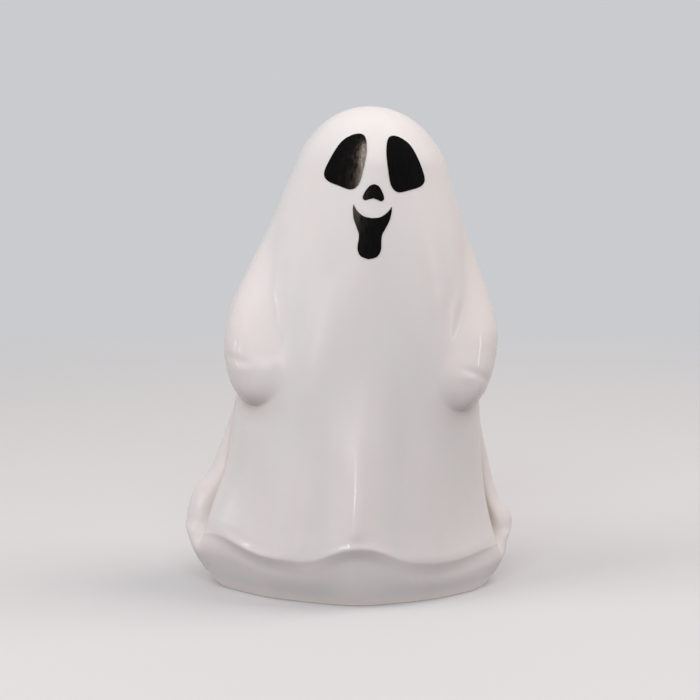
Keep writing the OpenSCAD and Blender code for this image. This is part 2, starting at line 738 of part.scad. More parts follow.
module tab_slot(x, y) {
    half = tab_w / 2 + fit;
    slab([x, y - half, bay_top - 1], [x + contact_t + 2 * touch, y + half, ceiling_z + 1]);
}

module door_cuts() {
    slab([pivot_x - door_t / 2 - fit, -door_half - fit, -1], [door_right + fit, door_half + fit, bay_floor]);
    slab([door_right - 1, -tab_half - fit, -1], [tab_right + fit, tab_half + fit, bay_floor]);
    slab([door_right - 1, -door_boss_r - fit, under_sink],
        [tab_right + fit, door_boss_r + fit, nut_boss_z]);
    pivot_bores();
    translate([screw_x, 0, nut_boss_z - 1]) cylinder(r = clip_r + fit, h = 1 + nut_mouth_h);
    translate([screw_x, 0, nut_boss_z]) cylinder(r = screw_r + nut_play, h = screw_tip_z + 1 - nut_boss_z);
}

module switch_cuts() {
    slot_half = (knob[1] + switch_travel) / 2 + fit;
    slab([switch_x - knob[0] / 2 - fit, -slot_half, -1],
        [switch_x + knob[0] / 2 + fit, slot_half, flange_t + 1]);
    slab([switch_x - thumb_half[0], -thumb_half[1], -1],
        [switch_x + thumb_half[0], thumb_half[1], under_sink + thumb_sink]);
    at_switch_screws() translate([0, 0, switch_screw_end])
        cylinder(r = ear_screw_r + pilot_room, h = switch_post_top);
}

// A pan-head screw with its head at the bottom, standing on z = 0, with a cross recess
module pan_screw(head_r, head_h, shank_r, length) {
    difference() {
        union() {
            cylinder(r = head_r, h = head_h);
            translate([0, 0, head_h - 0.1]) cylinder(r = shank_r, h = length - shank_r + 0.1);
            translate([0, 0, head_h + length - shank_r])
                cylinder(r1 = shank_r, r2 = shank_r * 0.4, h = shank_r);
        }
        for (t = [0, 90]) rotate(t) translate([-head_r * 0.6, -head_r * 0.13, -1])
            cube([head_r * 1.2, head_r * 0.26, 1 + head_h * 0.55]);
    }
}

module flange_screws() {
    color("silver") at_flange_screws() translate([0, 0, flange_head_z])
        pan_screw(flange_head_r, flange_head_h, flange_screw_r, flange_screw_l);
}

module battery_door() {
    color("white") difference() {
        union() {
            slab([pivot_x, -door_half, under_sink], [door_right, door_half, door_top]);
            slab([door_right - 1, -tab_half, under_sink], [tab_right, tab_half, door_top]);
            translate([pivot_x, -door_half, pivot_z]) rotate([-90, 0, 0])
                cylinder(r = door_t / 2, h = 2 * door_half);
            translate([pivot_x, -door_half - pivot_l, pivot_z]) rotate([-90, 0, 0])
                cylinder(r = pivot_d / 2, h = 2 * (door_half + pivot_l));
            translate([screw_x, 0, under_sink]) cylinder(r = door_boss_r, h = door_boss_top - under_sink);
        }
        translate([screw_x, 0, under_sink - 1]) {
            cylinder(r = screw_head_r + head_room, h = 1 + head_seat_z - under_sink);
            cylinder(r = screw_r + running, h = 2 + door_boss_top - under_sink);
        }
    }
}

module door_screw() {
    color("silver") translate([screw_x, 0, head_seat_z - screw_head_h - touch])
        pan_screw(screw_head_r, screw_head_h, screw_r, screw_tip_z - head_seat_z + touch);
}

// Spring clip that keeps the screw in the door when it is undone
module screw_clip() {
    color("dimgray") translate([screw_x, 0, clip_z]) difference() {
        cylinder(r = clip_r, h = clip_t);
        translate([0, 0, -1]) cylinder(r = screw_r + running / 2, h = clip_t + 2);
        translate([0, -clip_slit / 2, -1]) cube([clip_r + 1, clip_slit, clip_t + 2]);
    }
}

// A dry cell lying along X: a can with rolled ends and a button, its button at +X
module dry_cell() {
    button_r = 1.9;
    button_h = 0.9;
    roll = 0.6;
    rotate([0, 90, 0]) rotate_extrude() polygon([
        [0, 0], [cell_d / 2 - roll, 0], [cell_d / 2, roll], [cell_d / 2, cell_l - button_h - roll],
        [cell_d / 2 - roll, cell_l - button_h], [button_r, cell_l - button_h],
        [button_r, cell_l], [0, cell_l],
    ]);
}

// Cell k lies in its lane, the middle one turned the other way
module cell(k) {
    y = (k - 2) * cell_pitch;
    can = k == 2 ? "darkslategray" : "dimgray";
    color(can) if (k == 2)
        translate([left_plate_x + contact_t + touch + cell_l, y, cell_z]) rotate(180) dry_cell();
    else
        translate([right_plate_x - touch - cell_l, y, cell_z]) dry_cell();
}

// A contact plate against one end of the bay, over lanes from and to, with a solder tab where it has a lead
module contact_plate(x, from, to, tab) {
    half = cell_pitch / 2 - contact_inset;
    color("lightgray") {
        slab([x, from * cell_pitch - half, bay_floor + contact_inset],
            [x + contact_t, to * cell_pitch + half, bay_top - fit]);
        if (tab) slab([x, from * cell_pitch - tab_w / 2, bay_top - 1],
            [x + contact_t, from * cell_pitch + tab_w / 2, ceiling_z + tab_h]);
    }
}
module contact_negative() { contact_plate(left_plate_x, -1, -1, true); }
module contact_link_left() { contact_plate(left_plate_x, 0, 1, false); }
module contact_link_right() { contact_plate(right_plate_x, -1, 0, false); }
module contact_positive() { contact_plate(right_plate_x, 1, 1, true); }

// A conical contact spring along X, wide at its plate. Its ends run straight for one wire diameter
spring_wide = 3.4;
spring_narrow = 1.9;
spring_room = spring_l - touch - 2 * spring_wire;
spring_path = concat(
    [[0, spring_wide, 0]],
    [for (k = [0:8 * spring_turns])
        let (
            t = k / (8 * spring_turns),
            r = spring_wide + (spring_narrow - spring_wide) * t,
            a = 360 * spring_turns * t
        )
        [spring_wire + spring_room * t, r * cos(a), r * sin(a)]],
    [[spring_l - touch, spring_narrow * cos(360 * spring_turns), spring_narrow * sin(360 * spring_turns)]]
);
spring_gap = min([for (i = [1:len(spring_path) - 8], j = [i + 6:len(spring_path) - 2])
    norm(spring_path[i] - spring_path[j])]) - spring_wire;
echo(least_gap_between_spring_turns = spring_gap);

module contact_spring(k) {
    y = (k - 2) * cell_pitch;
    x = k == 2 ? right_plate_x - touch / 2 : left_plate_x + contact_t + touch / 2;
    color("silver") translate([x, y, cell_z]) rotate(k == 2 ? 180 : 0) tube(spring_path, spring_wire / 2, 6);
}

// A slide switch: a sheet steel case with ears, open below for the stem of the knob
module switch_case() {
    half = [switch_case[0] / 2, switch_case[1] / 2];
    color("silver") difference() {
        union() {
            slab([switch_x - half[0], -half[1], switch_case_z],
                [switch_x + half[0], half[1], switch_case_top]);
            slab([switch_x - switch_post_r, -ear_plate_half, ear_plate_z],
                [switch_x + switch_post_r, ear_plate_half, ear_plate_z + ear_plate_t]);
        }
        slab([switch_x - half[0] + switch_wall, -half[1] + switch_wall, switch_case_z - 1],
            [switch_x + half[0] - switch_wall, half[1] - switch_wall, switch_case_top - switch_wall]);
        at_switch_screws() translate([0, 0, ear_plate_z - 1])
            cylinder(r = ear_screw_r + pilot_room, h = ear_plate_t + 2);
    }
}

module switch_terminals() {
    color("gold") for (k = [-1:1]) translate([switch_x, k * terminal_pitch, switch_case_top])
        translate([-terminal[0] / 2, -terminal[1] / 2, 0]) cube(terminal);
}

module switch_screws() {
    color("silver") at_switch_screws() translate([0, 0, ear_plate_z + ear_plate_t + ear_head_h + touch])
        mirror([0, 0, 1]) pan_screw(ear_head_r, ear_head_h, ear_screw_r, ear_screw_l);
}

// The knob stands at its off end. Its slider is kept in by the case, and grooves give the thumb a hold
module switch_knob() {
    y = -switch_travel / 2;
    color("black") difference() {
        union() {
            slab([switch_x - knob[0] / 2, y - knob[1] / 2, knob_low],
                [switch_x + knob[0] / 2, y + knob[1] / 2, knob_top]);
            slab([switch_x - stem / 2, y - stem / 2, knob_low + 1],
                [switch_x + stem / 2, y + stem / 2, slider_top]);
            slab([switch_x - slider[0] / 2, y - slider[1] / 2, slider_low],
                [switch_x + slider[0] / 2, y + slider[1] / 2, slider_top]);
        }
        for (k = [-1:1]) translate([switch_x - knob[0], y + k * groove_pitch - groove / 2, knob_low - 1])
            cube([2 * knob[0], groove, 1 + groove_h]);
    }
}

// Place of diode k, one of three on a ring
module at_led(k) {
    turn = 90 + 120 * (k - 1);
    translate([board_x + led_ring_r * cos(turn), led_ring_r * sin(turn), 0]) children();
}

module led_board() {
    color("darkgreen") difference() {
        slab([board_x - board_l / 2, -board_w / 2, board_z], [board_x + board_l / 2, board_w / 2, board_top]);
        at_board_screws() translate([0, 0, board_z - 1])
            cylinder(r = board_screw_r + pilot_room, h = board_t + 2);
        for (k = [1:3]) at_led(k) at_leads() translate([0, 0, board_z - 1])
            cylinder(r = lead_r + pilot_room, h = board_t + 2, $fn = 24);
    }
}

module at_leads() {
    for (k = [-1.5:1:1.5]) translate([k * lead_pitch, 0, 0]) children();
}

module board_screws() {
    color("silver") at_board_screws() translate([0, 0, board_top + board_head_h + touch])
        mirror([0, 0, 1]) pan_screw(board_head_r, board_head_h, board_screw_r, board_screw_l);
}

// A domed diode: flange, cylinder and half-round lens
module led(k) {
    r = led_d / 2;
    color("aliceblue") at_led(k) translate([0, 0, board_top + led_stand]) rotate_extrude() {
        square([led_flange_r, led_flange_h]);
        square([r, led_body_h]);
        translate([0, led_body_h]) intersection() {
            circle(r);
            square(r);
        }
    }
}

module led_leads() {
    color("lightgray") for (k = [1:3]) at_led(k) at_leads() translate([0, 0, board_z - lead_below])
        cylinder(r = lead_r, h = board_t + lead_below + led_stand - touch, $fn = 24);
}

module driver_chip() {
    color("black") translate([board_x + chip_at[0], chip_at[1], board_top + touch])
        translate([-chip[0] / 2, -chip[1] / 2, chip_stand]) cube(chip);
    leg_y = (chip[1] + chip_leg[1]) / 2;
    color("silver") for (x = [-1.5:1:1.5], y = [-1, 1])
        translate([board_x + chip_at[0] + x * lead_pitch, chip_at[1] + y * leg_y, board_top + touch])
            translate([-chip_leg[0] / 2, -chip_leg[1] / 2, 0]) cube(chip_leg);
}

module resistors() {
    color("black") for (k = [0:2])
        translate([board_x + resistor_at[0], resistor_at[1] - k * resistor_pitch, board_top + touch])
            translate([-resistor[0] / 2, -resistor[1] / 2, 0]) cube(resistor);
}

module wire(route) {
    tube(open_curve(route, 4), wire_d / 2, 8);
}
module wire_negative() { color("black") wire(wire_negative_route); }
module wire_positive() { color("red") wire(wire_positive_route); }
module wire_switched() { color("orange") wire(wire_switched_route); }

ghost_shell();
face_print();
base_plate();
flange_screws();
battery_door();
door_screw();
screw_clip();
cell(1);  // cell_1
cell(2);  // cell_2
cell(3);  // cell_3
contact_negative();
contact_link_left();
contact_link_right();
contact_positive();
contact_spring(1);  // contact_spring_1
contact_spring(2);  // contact_spring_2
contact_spring(3);  // contact_spring_3
switch_case();
switch_terminals();
switch_screws();
switch_knob();
led_board();
board_screws();
led(1);  // led_1
led(2);  // led_2
led(3);  // led_3
led_leads();
driver_chip();
resistors();
wire_negative();
wire_positive();
wire_switched();
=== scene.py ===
import math

import bpy
import numpy as np
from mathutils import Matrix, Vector


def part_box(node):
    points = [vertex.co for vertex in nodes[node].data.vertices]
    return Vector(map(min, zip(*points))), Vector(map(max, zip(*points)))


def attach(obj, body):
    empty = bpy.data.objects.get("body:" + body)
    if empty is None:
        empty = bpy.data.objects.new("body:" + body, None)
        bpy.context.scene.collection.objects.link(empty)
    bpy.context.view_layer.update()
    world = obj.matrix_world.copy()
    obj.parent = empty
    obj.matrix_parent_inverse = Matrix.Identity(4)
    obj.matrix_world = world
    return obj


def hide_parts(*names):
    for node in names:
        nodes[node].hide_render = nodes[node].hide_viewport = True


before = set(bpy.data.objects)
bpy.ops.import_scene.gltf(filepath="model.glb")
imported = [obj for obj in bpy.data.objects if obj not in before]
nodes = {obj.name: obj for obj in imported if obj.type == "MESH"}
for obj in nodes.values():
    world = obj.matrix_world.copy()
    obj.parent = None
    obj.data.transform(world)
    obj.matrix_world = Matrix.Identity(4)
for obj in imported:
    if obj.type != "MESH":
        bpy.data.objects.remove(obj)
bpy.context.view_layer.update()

# Studio: a pale paper floor that fades into a pale background, under soft lamps at a plain level. The floor is
# seen only from above and lets light through round the foot, so that the underside is lit too.
# The camera looks at the front from a little above the hands.
MM = 0.001
scene = bpy.context.scene
scene.view_settings.view_transform = "Standard"


def linear(hex_colour):
    """The linear RGBA of an sRGB colour written as six hex digits."""
    shares = [int(hex_colour[i:i + 2], 16) / 255 for i in (0, 2, 4)]
    return [s / 12.92 if s <= 0.04045 else ((s + 0.055) / 1.055) ** 2.4 for s in shares] + [1]


def add_node(tree, kind, inputs=None, **settings):
    """A new node; an input given as (node, output) is linked and any other value is set."""
    node = tree.nodes.new(kind)
    for name, value in settings.items():
        setattr(node, name, value)
    for name, value in (inputs or {}).items():
        if isinstance(value, tuple) and isinstance(value[0], bpy.types.Node):
            tree.links.new(value[0].outputs[value[1]], node.inputs[name])
        else:
            node.inputs[name].default_value = value
    return node


def aim(from_point, at_point):
    """The turn of a lamp or camera that looks from one point at another."""
    return (Vector(at_point) - Vector(from_point)).to_track_quat("-Z", "Y").to_euler()


look_at = Vector((0, 0, 0.1071))
azimuth, elevation, distance = math.radians(-3), math.radians(8), 0.85
stand = look_at + distance * Vector((
    math.sin(azimuth) * math.cos(elevation),
    -math.cos(azimuth) * math.cos(elevation),
    math.sin(elevation),
))
bpy.ops.object.camera_add(location=stand, rotation=aim(stand, look_at))
scene.camera = bpy.context.object
scene.camera.data.sensor_width = 36
scene.camera.data.lens = 97.1

lamps = [
    # name, place, width and height in metres, watts, colour
    # A strip gives only highlights, and a softbox only soft light.
    ("left_softbox", (-0.9, -0.36, 1.1), 0.7, 0.9, 5.6, "FFFEFB"),
    ("right_softbox", (0.8, -0.05, 1.2), 0.7, 0.9, 6.8, "FFF6EE"),
    ("front_softbox", (-0.17, -1.14, 0.95), 1.0, 0.6, 6.2, "F8FAFF"),
    ("back_softbox", (0.1, 1.25, 0.6), 1.0, 0.6, 2.0, "FFFAF6"),
    ("face_strip", (-0.3, -0.93, 1.07), 0.14, 1.1, 34.0, "FFE9D8"),
    ("low_strip", (-0.53, -1.125, 0.15), 0.04, 0.2, 0.36, "FFFCFB"),
    ("lip_strip", (-0.549, -1.033, 0.257), 0.8, 0.05, 0.6, "FFFCFB"),
    ("hem_strip", (-1.13, -0.3, 0.29), 0.07, 0.07, 0.14, "FFFCFB"),
    ("left_strip", (-1.08, 0.04, 0.23), 0.05, 0.2, 0.32, "FFFCFB"),
    ("right_strip", (0.95, -0.45, 0.28), 0.03, 0.26, 0.21, "FFFCFB"),
]
for name, place, width, height, watts, colour in lamps:
    bpy.ops.object.light_add(type="AREA", location=place, rotation=aim(place, look_at))
    lamp = bpy.context.object
    lamp.name = name
    lamp.data.shape = "RECTANGLE"
    lamp.data.size = width
    lamp.data.size_y = height
    lamp.data.energy = watts
    lamp.data.color = linear(colour)[:3]
    lamp.visible_glossy = name.endswith("strip")
    lamp.visible_diffuse = not lamp.visible_glossy
    lamp.visible_camera = False


def compute(tree, operation, *values):
    """A node that works out one number from others."""
    return add_node(tree, "ShaderNodeMath", dict(enumerate(values)), operation=operation)


world = bpy.data.worlds.new("pale_studio")
scene.world = world
world.use_nodes = True
air = world.node_tree
air.nodes.clear()
path = add_node(air, "ShaderNodeLightPath")
mirrored = compute(air, "MAXIMUM", (path, "Is Glossy Ray"), (path, "Is Transmission Ray"))
seen = compute(air, "MAXIMUM", (path, "Is Camera Ray"), (mirrored, 0))
soft = add_node(air, "ShaderNodeBackground", {"Color": linear("FFF8F4"), "Strength": 0.43})
pale = add_node(air, "ShaderNodeBackground", {"Color": linear("CACBCE"), "Strength": 1.0})
both = add_node(air, "ShaderNodeMixShader", {0: (seen, 0), 1: (soft, 0), 2: (pale, 0)})
add_node(air, "ShaderNodeOutputWorld", {"Surface": (both, 0)})


def new_material(name):
    """A new material, its node tree and its shader."""
    material = bpy.data.materials.new(name)
    material.use_nodes = True
    return material, material.node_tree, material.node_tree.nodes["Principled BSDF"]


def mix_colours(tree, share, one, other):
    """A node that goes from one colour to another; the mixed colour is its output 2."""
    return add_node(tree, "ShaderNodeMix", {"Factor": share, 6: one, 7: other}, data_type="RGBA")


def map_range(tree, source, before, after, **settings):
    """A node that turns one range of values into another."""
    return add_node(tree, "ShaderNodeMapRange", {
        0: source, 1: before[0], 2: before[1], 3: after[0], 4: after[1]}, **settings)


floor_r, fade_from, fade_to = 4, 0.3, 1.1
foot_half_x, foot_half_y, open_round_foot = 52 * MM, 35 * MM, 1.38
bpy.ops.object.select_all(action="DESELECT")
bpy.ops.mesh.primitive_circle_add(vertices=128, radius=floor_r, fill_type="NGON")
floor = bpy.context.object
floor.name = "studio_floor"
paper, tree, shader = new_material("pale_paper_floor")
shader.inputs["Roughness"].default_value = 0.9
shader.inputs["Specular IOR Level"].default_value = 0.1
path = add_node(tree, "ShaderNodeLightPath")
bounce = mix_colours(tree, (path, "Is Diffuse Ray"), linear("DCDCDF"), linear("94969C"))
tree.links.new(bounce.outputs[2], shader.inputs["Base Color"])
facing = add_node(tree, "ShaderNodeNewGeometry")
spot = add_node(tree, "ShaderNodeTexCoord")
reach = add_node(tree, "ShaderNodeVectorMath", {0: (spot, "Object")}, operation="LENGTH")
fade = map_range(tree, (reach, "Value"), (fade_from, fade_to), (0, 1), interpolation_type="SMOOTHSTEP")
foot_plan = add_node(tree, "ShaderNodeMapping", {
    "Vector": (spot, "Object"), "Scale": (1 / foot_half_x, 1 / foot_half_y, 0)})
from_middle = add_node(tree, "ShaderNodeVectorMath", {0: (foot_plan, 0)}, operation="LENGTH")
open_to = map_range(tree, (path, "Is Camera Ray"), (0, 1), (open_round_foot, 1))
under_foot = compute(tree, "LESS_THAN", (from_middle, "Value"), (open_to, 0))
left_out = compute(tree, "MAXIMUM", (fade, 0), (under_foot, 0))
unseen = compute(tree, "MAXIMUM", (facing, "Backfacing"), (left_out, 0))
clear = add_node(tree, "ShaderNodeBsdfTransparent")
faded = add_node(tree, "ShaderNodeMixShader", {0: (unseen, 0), 1: (shader, 0), 2: (clear, 0)})
tree.links.new(faded.outputs[0], tree.nodes["Material Output"].inputs["Surface"])
floor.data.materials.append(paper)

# Ghost sheet: one hollow blow-moulding of translucent white polyethylene, with a wall of about 1.8 mm.
# It has the form of a sheet over a head and two arms that end in round hands. Its floor takes the light unit.
# Sizes are in millimetres; angles are in degrees round the body, 0 at the front and 90 at the right.
around = 288
wall = 1.8
body_h, head_r, head_front, head_back = 216, 34.5, 33, 33
head_z = body_h - head_r
dome_from = math.radians(19)
neck_z = head_z + head_r * math.sin(dome_from)
shoulder_z, waist_z, hip_z, hem_z = 160, 82, 52, 22.5
chest_z = (waist_z + shoulder_z) / 2
stations = np.array([
    # height, half width, depth forward, depth back
    [hem_z, 67.5, 45.6, 48],
    [hip_z, 59.5, 44, 45],
    [waist_z, 55.3, 42.5, 42],
    [chest_z, 50, 41, 40],
    [shoulder_z, 43.8, 37.5, 37],
    [neck_z, *(math.cos(dome_from) * np.array([head_r, head_front, head_back]))],
])
lean, lean_from, foot_shift, tilt, forward = 9.5, 28, 1.5, 0.03, -4
hand_z, hand_h, arm_out = 85.5, 27, 11
arm_z = hand_z + hand_h
arm_top_z = shoulder_z + 10
arm_angle, arm_back, arm_slope, arm_front, arm_rear = 72, 20, 0.45, 32, 34
swing_left, swing_right = 0.56, 0.78
hem_step, hem_flare, lip_h = 1.0, 0.3, 2.0
rim_z, foot_h = 0.6, hem_z - 4


def ease(start, end, x):
    """A soft step from 0 to 1."""
    t = np.clip((x - start) / (end - start), 0, 1)
    return t * t * (3 - 2 * t)


def bell(x):
    """A soft hump round 0."""
    return np.exp(-x * x)


def plain_row(z):
    """Half width, depth forward and depth back of the smooth sheet at one height."""
    if z >= neck_z:
        t = min(1, (z - head_z) / head_r)
        narrowed = 1 - 0.03 * ease(0.25, 0.7, t)
        return narrowed * math.sqrt(1 - t * t) * np.array([head_r, head_front, head_back])
    if z <= hem_z:
        return stations[0, 1:]
    i = np.searchsorted(stations[:, 0], z, side="right") - 1
    step = stations[i + 1, 0] - stations[i, 0]
    t = (z - stations[i, 0]) / step
    slopes = []
    for k in (i, i + 1):
        low, high = stations[max(0, k - 1)], stations[min(len(stations) - 1, k + 1)]
        slopes.append(step * (high[1:] - low[1:]) / (high[0] - low[0]))
    a, b = stations[i, 1:], stations[i + 1, 1:]
    return (a + t * slopes[0] + t * t * (3 * (b - a) - 2 * slopes[0] - slopes[1])
            + t ** 3 * (2 * (a - b) + slopes[0] + slopes[1]))


def arm(a, z, swing):
    """Share of the arm's height: it falls from the shoulder and ends in a rounded hand that swings inwards."""
    up = z > arm_z
    v = (z - arm_z) / (arm_top_z - arm_z) if up else (arm_z - z) / hand_h
    if v >= 1:
        return 0 * a
    centre = arm_angle + np.minimum(arm_back, (z - arm_z) * (arm_slope if up else swing))
    taper = 1 - 0.25 * v if up else np.where(a < centre, (1 - v ** 2.8) ** 0.65, math.sqrt(1 - v * v))
    half = np.where(a < centre, arm_front, arm_rear if up else arm_rear + 4 * v) * taper
    across = np.clip(1 - ((a - centre) / half) ** 2, 0, 1)
    flank = np.where(a < centre, 1.8 if up else 1.8 + v, 0.85)
    return across ** flank * (1 - ease(0, 1, v) if up else (1 - v * v) ** 0.8)


ridge_from, ridge_to, crest_out, crest_w = hem_z + 10, 115, 0.9, 3.2
fold_rows = [
    # angle, width, how far the fold stands out, height from which it fades, height at which it is gone
    (0, 9, 2.7, ridge_from, ridge_to),
    (19, 8, -1.3, ridge_from, ridge_to),
    (35, 17, 2.0, 36, waist_z),
    (142, 14, 3.5, hem_z + 6, 110),
]


def folds(a, z):
    """The upright folds at the front and the back, and the narrow crest of the ridge in front."""
    crest = crest_out * bell(a / crest_w) * ease(hem_z, hem_z + 8, z) * (1 - ease(ridge_from, ridge_to, z))
    return crest + sum(out * bell((a - at) / width) * (1 - ease(start, end, z))
                       for at, width, out, start, end in fold_rows)


def chest_edge(a, z, width):
    """Share of the soft edge in which the front of the sheet ends beside each arm."""
    at = np.interp(z, [88, 94, 107, 119, 130, 139, 150], [38, 38.5, 41, 44, 49, 55, 61])
    return ease(88, 106, z) * (1 - ease(132, 152, z)) * bell((a - at) / width)


dents = [
    # side, angle of the inner end, angle of the outer end, height of the inner end, height of the outer end
    (-1, 57.5, 69.5, 105.2, 106.7),
    (1, 49.5, 61.5, 104.2, 100.4),
]
dent_depth, dent_w, knuckle_out = 0.42, 1.5, 0.45


def hand_dent(phi, z):
    """A short dent over each hand, with a small knuckle under its inner end."""
    height = 0 * phi
    for side, start, end, z_start, z_end in dents:
        a = side * phi
        line = z_start + (a - start) * (z_end - z_start) / (end - start)
        along = ease(start - 3, start + 2, a) * (1 - ease(end - 2, end + 6, a))
        height = height - dent_depth * along * bell((z - line) / dent_w)
        height = height + knuckle_out * bell((a - start) / 4) * bell((z - z_start + 3) / 2)
    return height


waviness = 0.1


def unevenness(phi, z):
    """The slight waviness of a blown wall."""
    p = np.radians(phi)
    return waviness * (np.sin(5 * p + 0.045 * z) * np.sin(0.07 * z + 1.3)
                       + np.sin(11 * p - 0.03 * z + 0.7) * np.sin(0.05 * z + 2 * p))


foot_turns = np.array([
    # angle, how far the foot rounds in there
    [-180, 6], [-150, 6], [-135, 7], [-120, 9], [-105, 12], [-90, 14], [-75, 11], [-60, 9.2], [-45, 8.6],
    [-30, 9], [-15, 8.2], [0, 7.8], [15, 7], [30, 6.6], [45, 5.4], [60, 4.6], [75, 8], [90, 11.5], [105, 11],
    [120, 8], [150, 6], [180, 6],
])
flap_angle, flap_w = 101, 13
flap_rows = np.array([
    # height, how far the left and right flaps stand out there
    [14, 8.2, 5.6], [20, 8.3, 6.6], [25, 8.8, 9.6], [28, 9.2, 10.9], [31, 9.6, 10.3], [35, 9.9, 8.1],
    [40, 8.8, 6.1], [45, 6.4, 5.1], [50, 5.0, 4.9], [56, 4.5, 4.5], [62, 3.8, 3.8], [70, 2.3, 2.3],
    [80, 0.5, 0.5], [86, 0, 0],
])


def flap_height(phi, z):
    """The sheet's corners stand out at the sides, the left one higher up than the right one."""
    near = np.arange(-5, 5.1, 0.5)
    weights = bell(near / 2.5)
    left, right = [np.interp(z + near, flap_rows[:, 0], flap_rows[:, k]) @ weights / weights.sum()
                   for k in (1, 2)]
    return np.where(phi < 0, left, right)


def arm_height(phi, z):
    """The left arm is a little fuller above the hand, and the right hand a little flatter."""
    left = 1 + 0.1 * bell((z - 128) / 14)
    right = 1 - 0.13 * (1 - ease(108, 122, z))
    swing = np.where(phi < 0, swing_left, swing_right)
    return arm_out * np.where(phi < 0, left, right) * arm(np.abs(phi), z, swing)


def crease_angle(z):
    """Where the front of the sheet turns in beside the flap at its side."""
    return np.interp(z, [15, 21, 25, 36, 55, 72], [82, 82.5, 84, 85, 86, 86.5])


def crisp_lip(phi):
    """Where the lip over the foot has a crisp edge: in the middle and at the left."""
    return bell(phi / 16) + bell((phi + 46) / 14)


crease_depth, chest_edge_out, chest_edge_w = 5, 0.7, 4.5
lip_out, foot_power = 0.55, 1.75


def relief(phi, z):
    """How far the skin stands out from the smooth sheet."""
    a = np.abs(phi)
    soft = 1 - np.clip(crisp_lip(phi), 0, 1)
    below = 1 - ease(hem_z - 3.2 * lip_h, hem_z + lip_h * (0.5 + 1.3 * soft), z)
    at = crease_angle(z)
    sunk = 1 - ease(13, hem_z + 4, z)
    crease = 0.8 * bell((a - at - 2) / 5.5) + 0.6 * bell((a - at) / 2.4)
    crease = crease * (1 - ease(hip_z, hand_z + 8, z)) * (1 - sunk)
    flap = bell((a - flap_angle) / (flap_w * (1 + 1.2 * sunk)))
    foot_from = foot_h + 5 * flap
    foot = np.clip((foot_from - z) / (foot_from - rim_z), 0, 1)
    foot_in = np.interp((phi + 180) % 360 - 180, foot_turns[:, 0], foot_turns[:, 1])
    return (folds(a, z) * (1 - 0.5 * below)
            - crease_depth * crease
            + chest_edge_out * chest_edge(a, z, chest_edge_w)
            + arm_height(phi, z) + hand_dent(phi, z) + unevenness(phi, z)
            + flap_height(phi, z) * flap
            + hem_flare * (1 - ease(hem_z, hem_z + 14, z)) * (1 - below) * (1 - flap)
            - hem_step * below * (1 - 0.4 * flap)
            + lip_out * (1 - 0.7 * soft) * bell((z - hem_z) / lip_h)
            - foot_in * foot ** (foot_power + 0.45 * flap))


hem_turns = np.array([
    # angle, how far the hem's line departs there from an even wave
    [-180, 0], [-112, 0], [-92, -0.8], [-79, -0.4], [-63, 4.0], [-50, 4.3], [-40, 3.6], [-31, 3.0],
    [-22, 0.3], [-14, -0.7], [-6, 1.2], [0, 2.1], [5, 1.9], [12, 1.0], [21, 0.4], [31, 1.0], [40, 0.1],
    [47, -0.6], [56, -2.0], [64, -3.3], [77, -5.4], [92, -3], [112, 0], [180, 0],
])
wave_h, wave_count, wave_skew = 4.1, 4, 9.5
columns = (np.arange(around) - around / 2) * 360 / around
degrees = np.arange(-180, 541)
window = np.hanning(19) / np.hanning(19).sum()
smooth_turns = np.convolve(
    np.interp((degrees + 180) % 360 - 180, hem_turns[:, 0], hem_turns[:, 1]), window, mode="same")


def hem_rise(phi):
    """How far the hem's wavy line lies above its even height."""
    wave = wave_h * np.cos(np.radians(wave_count * (phi + wave_skew * np.sin(np.radians(2 * phi)))))
    return wave + np.interp(phi % 360, degrees, smooth_turns)


def lean_at(z):
    """How far the middle of the sheet lies to the right at one height."""
    leaning = np.clip((z - lean_from) / (neck_z - lean_from), 0, 1)
    return lean * leaning + foot_shift * (1 - ease(2, hem_z, z))


front_power, back_power, prow_w = 1.6, 2.25, 38


def skin(phi, z, row, out):
    """Points of the skin at one height, moved out from the smooth sheet, whose plan has a soft prow in front."""
    s, c = np.sin(np.radians(phi)), np.cos(np.radians(phi))
    front_plan = front_power + 0.7 * ease(hem_z + 10, arm_z, z) - 0.3 * ease(arm_z + 15, shoulder_z + 12, z)
    back_plan = back_power - 0.25 * ease(hem_z - 10, shoulder_z, z)
    power = 2 / np.where(c > 0, front_plan, back_plan)
    power = 1 + (power - 1) * ease(0, prow_w, np.abs(phi))
    depth = np.where(c > 0, row[1], row[2])
    nx, ny = s / row[0], -c / depth
    length = np.hypot(nx, ny)
    x = row[0] * np.sign(s) * np.abs(s) ** power + out * nx / length
    y = -depth * np.sign(c) * np.abs(c) ** power + out * ny / length
    share = ease(2, hem_z - 6, z) * (1 - ease(hem_z + 6, hip_z + 12, z))
    sink = tilt * x * ease(hem_z - 12, hem_z + 18, z)
    return np.stack([x + lean_at(z), y + forward, z + hem_rise(phi) * share - sink], axis=-1)


hand_droop, lip_droop = 0.22, 0.3


def outer_ring(z):
    """Points of the outer skin at one height; the hands and the lip hang a little."""
    ring = skin(columns, z, plain_row(z), relief(columns, z))
    droop = hand_droop * arm_height(columns, z) * (1 - ease(hand_z + 5, hand_z + 18, z))
    ring[:, 2] -= droop + lip_droop * bell((z - hem_z - 1.0) / 1.6)
    return ring


def inner_ring(z):
    """Points of the inner skin at one height, a wall inside the lowest part of the relief close by."""
    close_by = [(up, turn) for up in (-2, 0, 2) for turn in (-8, -4, 0, 4, 8)]
    least = np.min([relief(columns + turn, max(z + up * wall, 8)) for up, turn in close_by], axis=0)
    return skin(columns, z, plain_row(z), least - wall)


